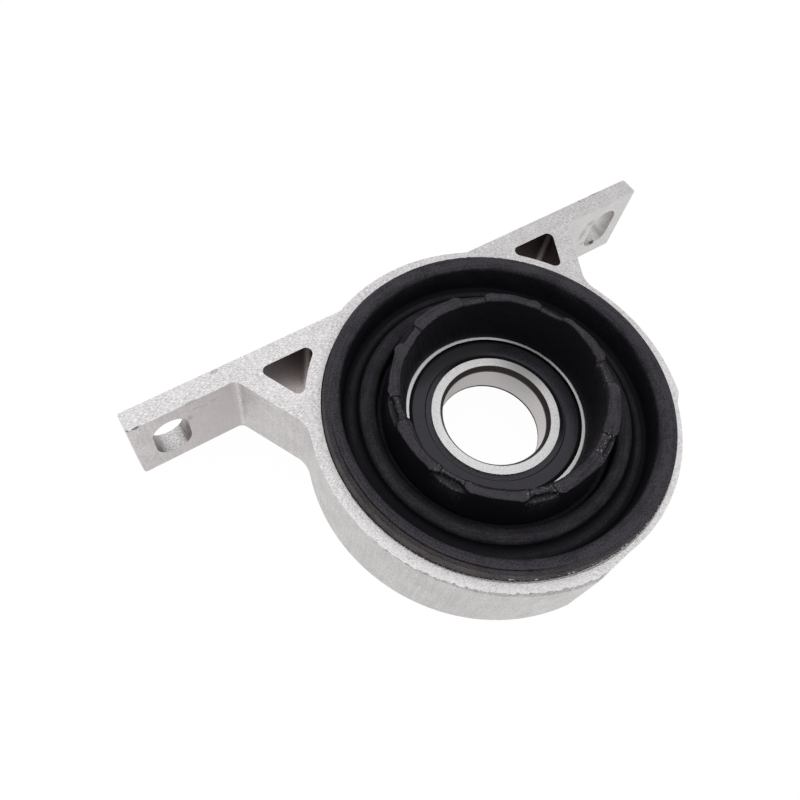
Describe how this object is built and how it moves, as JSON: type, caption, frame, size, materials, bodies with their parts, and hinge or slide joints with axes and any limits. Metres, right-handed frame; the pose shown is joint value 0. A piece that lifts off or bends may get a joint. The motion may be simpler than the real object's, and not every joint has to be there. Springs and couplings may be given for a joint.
{
  "type": "driveshaft centre bearing",
  "caption": "Driveshaft centre bearing: sealed ball bearing in a rubber bellows with a notched collar, held in a slotted aluminium bracket.",
  "frame": {"origin": "centre of the bearing, on the shaft axis at the middle of the bearing's width", "axes": "+Z along the shaft axis towards the open collar of the bellows, +X along the mounting bar, +Y from the shaft axis towards the bar's mounting face"},
  "size_m": [0.2082, 0.1224, 0.0394],
  "materials": {
    "bracket": "extruded and sawn, satin",
    "bellows": "moulded, matt and slightly dusty",
    "bearing_steel": "ground",
    "cage_steel": "pressed",
    "ball_steel": "polished",
    "seal": "moulded, satin"
  },
  "bodies": {
    "mount": {"housing_bracket": "bracket", "rubber_bellows": "bellows", "bearing_outer_ring": "bearing_steel", "seal_front": "seal", "seal_rear": "seal"},
    "shaft_ring": {"bearing_inner_ring": "bearing_steel"},
    "ball_set": {"cage_front": "cage_steel", "cage_rear": "cage_steel", "cage_rivets": "cage_steel", "ball_01": "ball_steel", "ball_02": "ball_steel", "ball_03": "ball_steel", "ball_04": "ball_steel", "ball_05": "ball_steel", "ball_06": "ball_steel", "ball_07": "ball_steel", "ball_08": "ball_steel", "ball_09": "ball_steel", "ball_10": "ball_steel", "ball_11": "ball_steel"}
  },
  "joints": [
    {"name": "shaft_spin", "type": "hinge", "parent": "mount", "child": "shaft_ring", "pos_m": [0, 0, 0], "axis": [0, 0, 1], "continuous": true},
    {"name": "cage_spin", "type": "hinge", "parent": "mount", "child": "ball_set", "pos_m": [0, 0, 0], "axis": [0, 0, 1], "continuous": true}
  ],
  "couplings": [
    {"joint": "cage_spin", "follows": "shaft_spin", "ratio": 0.41816}
  ]
}
